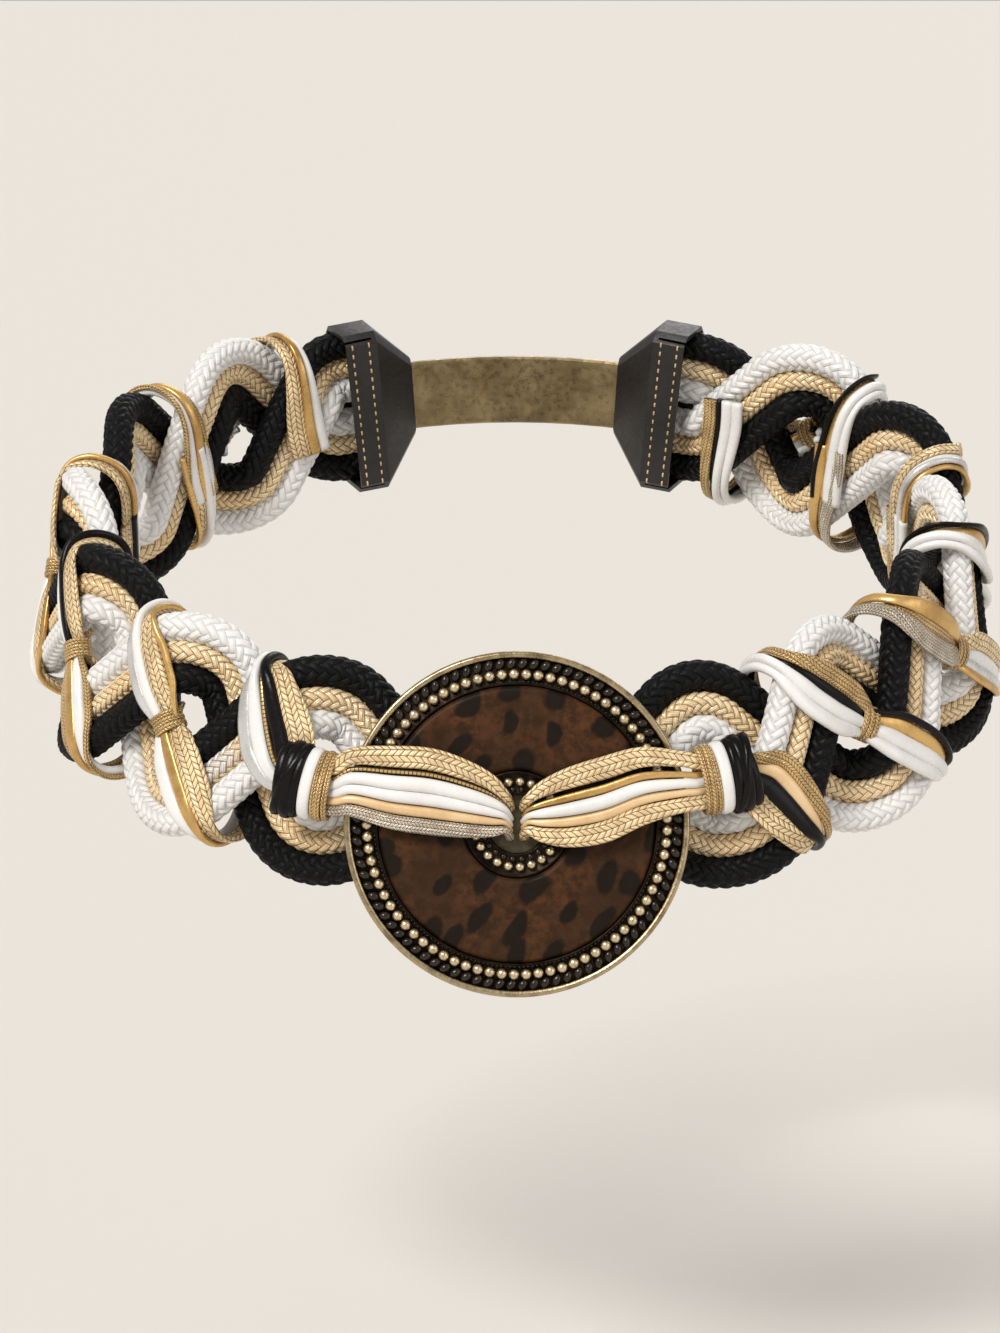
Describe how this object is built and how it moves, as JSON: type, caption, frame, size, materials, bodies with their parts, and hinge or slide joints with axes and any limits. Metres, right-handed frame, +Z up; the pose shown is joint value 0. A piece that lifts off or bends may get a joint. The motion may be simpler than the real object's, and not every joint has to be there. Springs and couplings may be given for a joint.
{
  "type": "braided belt",
  "caption": "Closed waist belt of thick cords braided in two bundles and wrapped with thin straps, with a big round medallion at the front.",
  "frame": {"origin": "middle of the waist that the belt goes round", "axes": "+Z up through the waist, +X to the right of someone facing the medallion, the medallion faces -Y and a little up"},
  "size_m": [0.295, 0.2279, 0.1704],
  "materials": {
    "white_cord": "close braid with a slight sheen",
    "gold_cord": "metallic thread braid, satin",
    "black_cord": "fine braid, matt",
    "gold_mesh": "flat metallic thread weave, satin",
    "silver_mesh": "flat pale metallic thread weave, satin",
    "gold_leather": "metallic coated, smooth satin",
    "black_leather": "smooth, half gloss",
    "white_leather": "smooth, half gloss",
    "beige_leather": "smooth, half gloss",
    "dark_piping": "thin dark roll with gold stitches",
    "antique_brass": "aged, dark in the hollows, worn bright on the beads",
    "spotted_satin": "brown satin with soft dark spots"
  },
  "bodies": {
    "root": {"cord_a_white": "white_cord", "cord_a_gold": "gold_cord", "cord_a_black": "black_cord", "cord_b_white": "white_cord", "cord_b_gold": "gold_cord", "cord_b_black": "black_cord", "strap_band_right": "gold_mesh", "right_knot_gold": "gold_mesh", "right_knot_white": "white_leather", "right_knot_black": "black_leather", "right_end_tab": "black_leather", "strap_band_left": "gold_mesh", "left_knot_gold": "gold_mesh", "left_knot_white": "white_leather", "left_knot_black": "black_leather", "left_end_tab": "black_leather", "right_loop_gold_mesh": "gold_mesh", "right_loop_gold_strap": "gold_leather", "right_loop_white": "white_leather", "right_loop_beige": "beige_leather", "right_loop_gold_mesh_lower": "gold_mesh", "left_loop_gold_mesh": "gold_mesh", "left_loop_dark_piping": "dark_piping", "left_loop_white_upper": "white_leather", "left_loop_white_lower": "white_leather", "left_loop_beige": "beige_leather", "left_loop_silver_mesh": "silver_mesh", "medallion_frame": "antique_brass", "medallion_insert": "spotted_satin", "outer_bead_row": "antique_brass", "hub_bead_row": "antique_brass", "loop_keeper": "antique_brass", "back_clasp": "antique_brass"}
  },
  "joints": []
}
